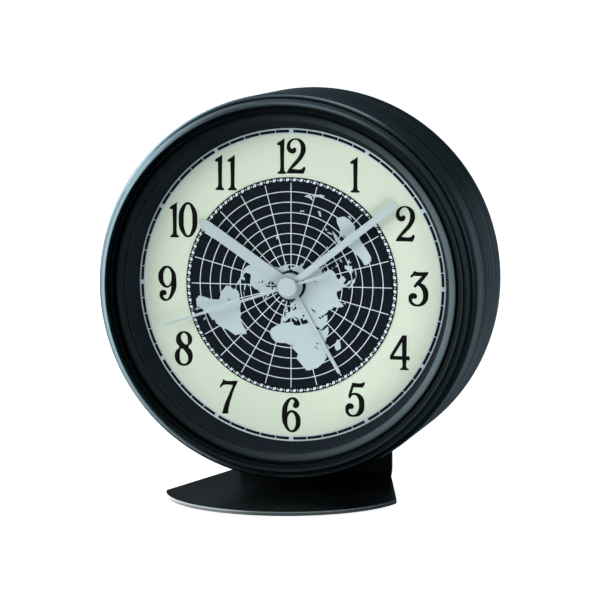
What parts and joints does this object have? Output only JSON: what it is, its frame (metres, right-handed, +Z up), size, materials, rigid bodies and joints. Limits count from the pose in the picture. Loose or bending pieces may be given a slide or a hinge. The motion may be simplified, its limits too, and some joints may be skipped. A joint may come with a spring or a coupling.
{
  "type": "world time clock",
  "caption": "Round desk clock with a polar world map dial, four hands, a quartz wheel train and rear controls, in a brushed drum on a bent sheet stand.",
  "frame": {"origin": "on the surface that the clock stands on, under the front face of the dial, on the clock's centre plane", "axes": "+X to the clock's left-to-right as seen from the front, +Y to the rear along the hub axis, +Z up"},
  "size_m": [0.1176, 0.0829, 0.1229],
  "materials": {
    "drum_metal": "brushed round the drum, black anodised",
    "bezel_metal": "turned, black anodised",
    "glass": "clear flat glass",
    "rubber": "soft black",
    "foam": "fine closed foam",
    "black_plastic": "satin moulded",
    "rim_paint": "smooth satin",
    "dial_ivory": "fine pressed lattice, satin",
    "track_silver": "satin",
    "map_black": "satin with printed lines",
    "hand_silver": "satin",
    "acetal": "moulded wheels",
    "steel": "plated",
    "core_steel": "rolled sheet",
    "copper": "enamelled winding",
    "board": "printed circuit laminate",
    "cell": "bare plain cell",
    "stand_metal": "satin black sheet with bare cut edges"
  },
  "bodies": {
    "case": {"drum_case": "drum_metal", "bezel_ring": "bezel_metal", "lens": "glass", "lens_gasket": "rubber", "dial_surround": "rim_paint", "dial_plate": "dial_ivory", "minute_track": "track_silver", "map_disc": "map_black", "dial_carrier": "black_plastic", "carrier_screws": "steel", "movement_frame": "black_plastic", "train_bridge": "acetal", "movement_cover": "black_plastic", "movement_screws": "steel", "stator": "core_steel", "coil": "copper", "circuit_board": "board", "quartz_can": "steel", "rear_cover": "black_plastic", "rear_cover_screws": "steel", "battery_cell": "cell", "battery_contacts": "steel", "buzzer": "black_plastic", "stand": "stand_metal", "stand_pad": "foam", "stand_screws": "steel"},
    "seconds": {"second_hand": "hand_silver", "hub_cap": "hand_silver", "second_wheel": "acetal"},
    "rotor_body": {"rotor": "acetal"},
    "intermediate_body": {"intermediate_wheel": "acetal"},
    "third_body": {"third_wheel": "acetal"},
    "centre_body": {"centre_wheel": "acetal"},
    "minutes": {"minute_hand": "hand_silver", "cannon_pinion": "acetal"},
    "hours": {"hour_hand": "hand_silver", "hour_wheel": "acetal"},
    "transfer_body": {"transfer_wheel": "acetal"},
    "time_setting": {"time_set_stem": "acetal", "time_set_knob": "black_plastic"},
    "alarm_hand_body": {"alarm_hand": "hand_silver", "alarm_wheel": "acetal"},
    "alarm_setting": {"alarm_set_stem": "acetal", "alarm_set_knob": "black_plastic"},
    "switch_body": {"alarm_switch": "black_plastic"},
    "door_body": {"battery_door": "black_plastic"}
  },
  "joints": [
    {"name": "second_turn", "type": "hinge", "parent": "case", "child": "seconds", "pos_m": [0, 0, 0.0641], "axis": [0, 1, 0], "continuous": true},
    {"name": "centre_turn", "type": "hinge", "parent": "case", "child": "centre_body", "pos_m": [0, 0, 0.0641], "axis": [0, 1, 0], "continuous": true},
    {"name": "third_turn", "type": "hinge", "parent": "case", "child": "third_body", "pos_m": [-0.01082, 0, 0.07492], "axis": [0, 1, 0], "continuous": true},
    {"name": "intermediate_turn", "type": "hinge", "parent": "case", "child": "intermediate_body", "pos_m": [0.0096, 0, 0.0641], "axis": [0, 1, 0], "continuous": true},
    {"name": "rotor_turn", "type": "hinge", "parent": "case", "child": "rotor_body", "pos_m": [0.01177, 0, 0.05599], "axis": [0, 1, 0], "continuous": true},
    {"name": "minute_turn", "type": "hinge", "parent": "case", "child": "minutes", "pos_m": [0, 0, 0.0641], "axis": [0, 1, 0], "continuous": true},
    {"name": "hour_turn", "type": "hinge", "parent": "case", "child": "hours", "pos_m": [0, 0, 0.0641], "axis": [0, 1, 0], "continuous": true},
    {"name": "transfer_turn", "type": "hinge", "parent": "case", "child": "transfer_body", "pos_m": [0.0075, 0, 0.05111], "axis": [0, 1, 0], "continuous": true},
    {"name": "time_set_turn", "type": "hinge", "parent": "case", "child": "time_setting", "pos_m": [0.02049, 0, 0.04361], "axis": [0, 1, 0], "continuous": true},
    {"name": "alarm_turn", "type": "hinge", "parent": "case", "child": "alarm_hand_body", "pos_m": [0, 0, 0.0641], "axis": [0, 1, 0], "continuous": true},
    {"name": "alarm_set_turn", "type": "hinge", "parent": "case", "child": "alarm_setting", "pos_m": [0.01096, 0, 0.07506], "axis": [0, 1, 0], "continuous": true},
    {"name": "alarm_switch_slide", "type": "slide", "parent": "case", "child": "switch_body", "axis": [1, 0, 0], "range_m": [0, 0.004]},
    {"name": "battery_door_slide", "type": "slide", "parent": "case", "child": "door_body", "axis": [0, 1, 0], "range_m": [0, 0.02]}
  ],
  "couplings": [
    {"joint": "third_turn", "follows": "second_turn", "ratio": -0.125},
    {"joint": "centre_turn", "follows": "second_turn", "ratio": 0.016667},
    {"joint": "intermediate_turn", "follows": "second_turn", "ratio": -5},
    {"joint": "rotor_turn", "follows": "second_turn", "ratio": 30},
    {"joint": "transfer_turn", "follows": "minute_turn", "ratio": -0.33333},
    {"joint": "hour_turn", "follows": "minute_turn", "ratio": 0.083333},
    {"joint": "time_set_turn", "follows": "minute_turn", "ratio": 1},
    {"joint": "alarm_set_turn", "follows": "alarm_turn", "ratio": -3.4286}
  ]
}
